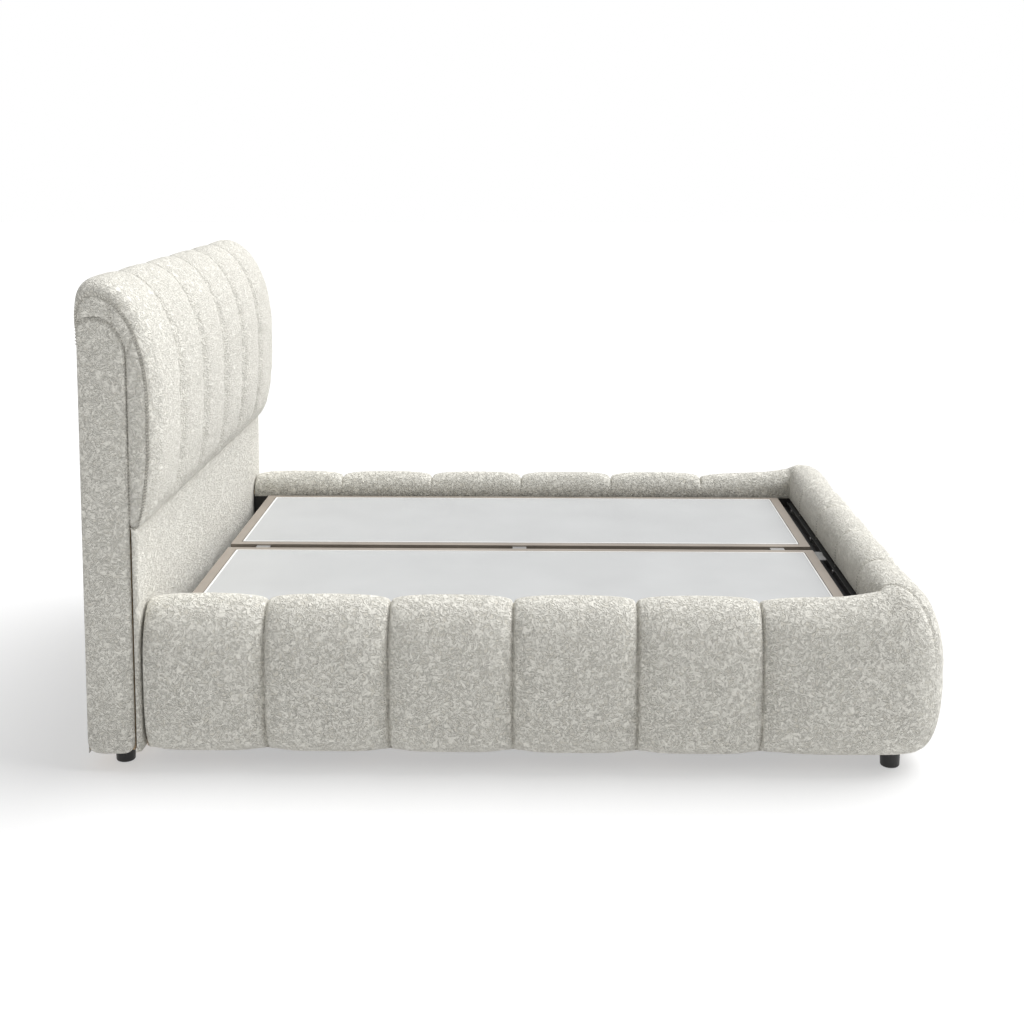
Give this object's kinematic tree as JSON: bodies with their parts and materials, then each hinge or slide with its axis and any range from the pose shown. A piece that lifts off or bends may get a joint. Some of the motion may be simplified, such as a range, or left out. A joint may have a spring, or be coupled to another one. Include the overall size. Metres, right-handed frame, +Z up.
{
  "type": "upholstered storage bed",
  "caption": "Double bed with a channelled headboard, puffy padded rails and a platform that lifts on gas struts over a storage box.",
  "frame": {"origin": "on the floor, at the middle of the bed's length and width", "axes": "+X from the headboard to the foot, +Y to the left of a sleeper on their back, +Z up"},
  "size_m": [2.3302, 1.84, 1.35],
  "materials": {
    "pine": "sawn softwood",
    "plywood": "raw plywood",
    "dark_board": "dark laminate",
    "boucle_pad": "cream boucle, channelled",
    "boucle_flat": "cream boucle, flat",
    "backing_cloth": "plain woven lining",
    "zinc_steel": "zinc plated",
    "bolt_steel": "zinc plated",
    "black_steel": "satin black powder coat",
    "chrome_rod": "polished",
    "black_feet": "satin black",
    "taupe_steel": "taupe powder coat",
    "pale_board": "pale grey laminate",
    "webbing": "grey woven webbing"
  },
  "bodies": {
    "bed_frame": {"headboard_posts": "pine", "headboard_crossrails": "pine", "headboard_top_rail": "pine", "headboard_front_panel": "plywood", "headboard_back_panel": "plywood", "headboard_back_cover": "backing_cloth", "headboard_side_right": "boucle_flat", "headboard_side_left": "boucle_flat", "headboard_pad": "boucle_pad", "headboard_lower_pad": "boucle_flat", "side_rail_right_inner_board": "dark_board", "side_rail_right_outer_board": "plywood", "side_rail_right_top_board": "plywood", "side_rail_right_ribs": "pine", "side_rail_right_pad": "boucle_pad", "side_rail_left_inner_board": "dark_board", "side_rail_left_outer_board": "plywood", "side_rail_left_top_board": "plywood", "side_rail_left_ribs": "pine", "side_rail_left_pad": "boucle_pad", "foot_rail_inner_board": "dark_board", "foot_rail_outer_board": "plywood", "foot_rail_top_board": "plywood", "foot_rail_ribs": "pine", "foot_rail_pad": "boucle_pad", "corner_brackets": "zinc_steel", "frame_bolts": "bolt_steel", "foot_ledge": "black_steel", "foot_batten": "dark_board", "centre_beam": "pine", "floor_battens": "pine", "floor_board_right": "dark_board", "floor_board_left": "dark_board", "corner_feet": "black_feet", "centre_feet": "black_feet", "lift_base_plate_right": "black_steel", "lift_base_plate_left": "black_steel", "arm_pivot_pins": "bolt_steel", "strut_base_studs": "bolt_steel"},
    "lift_arms": {"lift_arm_right": "black_steel", "lift_arm_left": "black_steel", "platform_pivot_pins": "bolt_steel"},
    "platform": {"platform_long_tubes_right": "taupe_steel", "platform_long_tubes_left": "taupe_steel", "platform_cross_tubes_right": "taupe_steel", "platform_cross_tubes_left": "taupe_steel", "platform_board_right": "pale_board", "platform_board_left": "pale_board", "joint_plates": "zinc_steel", "platform_bolts": "bolt_steel", "hinge_plate_right": "black_steel", "hinge_plate_left": "black_steel", "guide_pins": "bolt_steel", "pull_strap": "webbing"},
    "guide_arms": {"guide_arm_right": "black_steel", "guide_arm_left": "black_steel", "strut_top_studs": "bolt_steel"},
    "strut_cylinders": {"strut_cylinders": "black_steel"},
    "strut_rods": {"strut_rods": "chrome_rod"}
  },
  "joints": [
    {"name": "arm_swing", "type": "hinge", "parent": "bed_frame", "child": "lift_arms", "pos_m": [-0.527, 0, 0.216], "axis": [0, 1, 0], "range_deg": [0, 51.6]},
    {"name": "platform_lift", "type": "hinge", "parent": "lift_arms", "child": "platform", "pos_m": [-0.796, 0, 0.34], "axis": [0, -1, 0], "range_deg": [0, 89.5]},
    {"name": "guide_swing", "type": "hinge", "parent": "bed_frame", "child": "guide_arms", "pos_m": [-0.357, 0, 0.149], "axis": [0, 1, 0], "range_deg": [0, 42.3]},
    {"name": "strut_tilt", "type": "hinge", "parent": "bed_frame", "child": "strut_cylinders", "pos_m": [-0.578, 0, 0.112], "axis": [0, 1, 0], "range_deg": [0, 6.8]},
    {"name": "strut_stroke", "type": "slide", "parent": "strut_cylinders", "child": "strut_rods", "axis": [0.7482, 0, 0.6634], "range_m": [0, 0.083]}
  ],
  "couplings": [
    {"joint": "arm_swing", "follows": "platform_lift", "ratio": 0.57542},
    {"joint": "guide_swing", "follows": "platform_lift", "ratio": 0.47151},
    {"joint": "strut_tilt", "follows": "platform_lift", "ratio": 0.075508},
    {"joint": "strut_stroke", "follows": "platform_lift", "m_per_rad": 0.052815}
  ]
}
